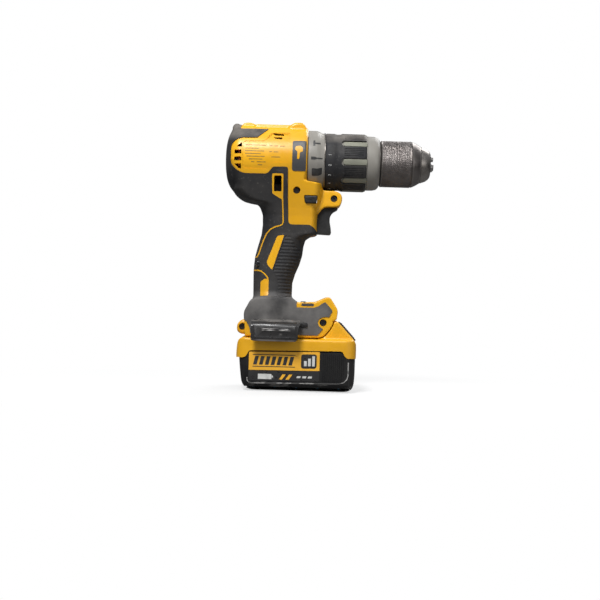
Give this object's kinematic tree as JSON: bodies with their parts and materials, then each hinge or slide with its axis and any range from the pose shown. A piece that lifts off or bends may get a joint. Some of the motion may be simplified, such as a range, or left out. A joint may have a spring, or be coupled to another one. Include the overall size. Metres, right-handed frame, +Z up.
{
  "type": "cordless drill",
  "caption": "Pistol-grip cordless hammer drill driver with a keyless three-jaw chuck, clutch and mode collars, two-speed planetary gearbox, belt hook and slide-on battery.",
  "frame": {"origin": "middle of the battery's flat underside, in the plane of symmetry and 119 mm behind the tips of the chuck's jaws", "axes": "+X forward towards the chuck, +Y to the drill's left side, +Z up"},
  "size_m": [0.1886, 0.0855, 0.242],
  "materials": {
    "housing_yellow": "satin moulded",
    "overmould_rubber": "matte moulded",
    "badge_plastic": "gloss",
    "dark_screws": "black oxide",
    "control_plastic": "fine texture",
    "collar_grey": "satin moulded",
    "hook_steel": "black coated",
    "lamp_lens": "clear",
    "circuit_board": "solder mask",
    "battery_tub_black": "fine texture",
    "battery_shell_yellow": "satin moulded",
    "cell_wrap": "shrink wrap",
    "core_steel": "stamped",
    "copper_wire": "enamelled wire",
    "bearing_steel": "ground",
    "cast_alloy": "die cast",
    "gear_steel": "machined",
    "chuck_steel": "turned, blackened",
    "jaw_steel": "ground"
  },
  "bodies": {
    "drill_body": {"housing_right": "housing_yellow", "housing_left": "housing_yellow", "overmould_right": "overmould_rubber", "overmould_left": "overmould_rubber", "badge_right": "badge_plastic", "badge_left": "badge_plastic", "housing_screw_chin": "dark_screws", "housing_screw_side": "dark_screws", "housing_screw_foot": "dark_screws", "housing_screw_tab": "dark_screws", "stator_core": "core_steel", "stator_windings": "copper_wire", "motor_bearing_rear": "bearing_steel", "motor_bearing_front": "bearing_steel", "gearcase_cover": "cast_alloy", "gearcase": "cast_alloy", "fixed_ring_gear": "gear_steel", "spindle_bearing": "bearing_steel", "hammer_ratchet_fixed": "gear_steel", "clutch_spring": "gear_steel", "trigger_switch": "control_plastic", "control_board": "circuit_board", "work_light_lens": "lamp_lens", "terminal_block": "control_plastic", "belt_hook": "hook_steel", "belt_hook_screw": "dark_screws"},
    "rotor": {"rotor_core": "core_steel", "motor_shaft": "gear_steel", "cooling_fan": "control_plastic"},
    "first_carrier": {"first_carrier": "gear_steel"},
    "planet_1": {"planet_gear_1": "gear_steel"},
    "planet_2": {"planet_gear_2": "gear_steel"},
    "planet_3": {"planet_gear_3": "gear_steel"},
    "spindle": {"spindle": "gear_steel", "output_carrier": "gear_steel", "hammer_ratchet_moving": "gear_steel", "chuck_body": "chuck_steel", "chuck_screw": "dark_screws"},
    "planet_4": {"planet_gear_4": "gear_steel"},
    "planet_5": {"planet_gear_5": "gear_steel"},
    "planet_6": {"planet_gear_6": "gear_steel"},
    "mode_collar": {"mode_collar": "collar_grey"},
    "clutch_collar": {"clutch_collar": "collar_grey", "clutch_grip": "overmould_rubber"},
    "clutch_nut": {"clutch_nut": "cast_alloy"},
    "speed_selector": {"speed_selector": "control_plastic", "shift_yoke": "gear_steel", "shift_ring_gear": "gear_steel"},
    "trigger": {"trigger": "control_plastic"},
    "direction_button": {"direction_button": "control_plastic"},
    "chuck_sleeve": {"chuck_sleeve": "chuck_steel", "chuck_nut": "chuck_steel"},
    "jaw_1": {"chuck_jaw_1": "jaw_steel"},
    "jaw_2": {"chuck_jaw_2": "jaw_steel"},
    "jaw_3": {"chuck_jaw_3": "jaw_steel"},
    "battery": {"battery_tub": "battery_tub_black", "battery_shell": "battery_shell_yellow", "battery_cells": "cell_wrap", "battery_board": "circuit_board"},
    "battery_release": {"battery_release": "control_plastic"}
  },
  "joints": [
    {"name": "spindle_spin", "type": "hinge", "parent": "drill_body", "child": "spindle", "pos_m": [0, 0, 0.2083], "axis": [1, 0, 0], "continuous": true},
    {"name": "rotor_spin", "type": "hinge", "parent": "drill_body", "child": "rotor", "pos_m": [0, 0, 0.2083], "axis": [1, 0, 0], "continuous": true},
    {"name": "first_carrier_spin", "type": "hinge", "parent": "drill_body", "child": "first_carrier", "pos_m": [0, 0, 0.2083], "axis": [1, 0, 0], "continuous": true},
    {"name": "planet_1_spin", "type": "hinge", "parent": "first_carrier", "child": "planet_1", "pos_m": [0, 0.00945, 0.2083], "axis": [1, 0, 0], "continuous": true},
    {"name": "planet_2_spin", "type": "hinge", "parent": "first_carrier", "child": "planet_2", "pos_m": [0, -0.00473, 0.21648], "axis": [1, 0, 0], "continuous": true},
    {"name": "planet_3_spin", "type": "hinge", "parent": "first_carrier", "child": "planet_3", "pos_m": [0, -0.00473, 0.20012], "axis": [1, 0, 0], "continuous": true},
    {"name": "planet_4_spin", "type": "hinge", "parent": "spindle", "child": "planet_4", "pos_m": [0, 0.00945, 0.2083], "axis": [1, 0, 0], "continuous": true},
    {"name": "planet_5_spin", "type": "hinge", "parent": "spindle", "child": "planet_5", "pos_m": [0, -0.00473, 0.21648], "axis": [1, 0, 0], "continuous": true},
    {"name": "planet_6_spin", "type": "hinge", "parent": "spindle", "child": "planet_6", "pos_m": [0, -0.00473, 0.20012], "axis": [1, 0, 0], "continuous": true},
    {"name": "mode_collar_turn", "type": "hinge", "parent": "drill_body", "child": "mode_collar", "pos_m": [0, 0, 0.2083], "axis": [1, 0, 0], "range_deg": [-36, 36]},
    {"name": "clutch_collar_turn", "type": "hinge", "parent": "drill_body", "child": "clutch_collar", "pos_m": [0, 0, 0.2083], "axis": [1, 0, 0], "range_deg": [-150, 150], "deforming": ["clutch_spring"]},
    {"name": "clutch_nut_slide", "type": "slide", "parent": "drill_body", "child": "clutch_nut", "axis": [1, 0, 0], "range_m": [-0.0031, 0.0031]},
    {"name": "speed_select", "type": "slide", "parent": "drill_body", "child": "speed_selector", "axis": [1, 0, 0], "range_m": [0, 0.0065]},
    {"name": "trigger_pull", "type": "slide", "parent": "drill_body", "child": "trigger", "axis": [-1, 0, 0], "range_m": [0, 0.0062], "stiffness_N_per_m": 900, "springref_m": -0.004},
    {"name": "direction_push", "type": "slide", "parent": "drill_body", "child": "direction_button", "axis": [0, 1, 0], "range_m": [-0.0035, 0.0035]},
    {"name": "chuck_sleeve_turn", "type": "hinge", "parent": "spindle", "child": "chuck_sleeve", "pos_m": [0, 0, 0.2083], "axis": [1, 0, 0], "range_deg": [-2580, 2850]},
    {"name": "jaw_1_slide", "type": "slide", "parent": "spindle", "child": "jaw_1", "axis": [0.9659, 0, -0.2588], "range_m": [-0.0128, 0.0116]},
    {"name": "jaw_2_slide", "type": "slide", "parent": "spindle", "child": "jaw_2", "axis": [0.9659, 0.2241, 0.1294], "range_m": [-0.0128, 0.0116]},
    {"name": "jaw_3_slide", "type": "slide", "parent": "spindle", "child": "jaw_3", "axis": [0.9659, -0.2241, 0.1294], "range_m": [-0.0128, 0.0116]},
    {"name": "battery_slide", "type": "slide", "parent": "drill_body", "child": "battery", "axis": [1, 0, 0], "range_m": [0, 0.1]},
    {"name": "battery_release_press", "type": "slide", "parent": "battery", "child": "battery_release", "axis": [-0.7377, 0, -0.6751], "range_m": [0, 0.0022], "stiffness_N_per_m": 1500, "springref_m": -0.002}
  ],
  "couplings": [
    {"joint": "rotor_spin", "follows": "spindle_spin", "ratio": 21.778},
    {"joint": "first_carrier_spin", "follows": "spindle_spin", "ratio": 4.6667},
    {"joint": "planet_1_spin", "follows": "spindle_spin", "ratio": -12.833},
    {"joint": "planet_2_spin", "follows": "spindle_spin", "ratio": -12.833},
    {"joint": "planet_3_spin", "follows": "spindle_spin", "ratio": -12.833},
    {"joint": "planet_4_spin", "follows": "spindle_spin", "ratio": -2.75},
    {"joint": "planet_5_spin", "follows": "spindle_spin", "ratio": -2.75},
    {"joint": "planet_6_spin", "follows": "spindle_spin", "ratio": -2.75},
    {"joint": "clutch_nut_slide", "follows": "clutch_collar_turn", "m_per_rad": -0.001146},
    {"joint": "jaw_1_slide", "follows": "chuck_sleeve_turn", "m_per_rad": -0.00025465},
    {"joint": "jaw_2_slide", "follows": "chuck_sleeve_turn", "m_per_rad": -0.00025465},
    {"joint": "jaw_3_slide", "follows": "chuck_sleeve_turn", "m_per_rad": -0.00025465}
  ]
}
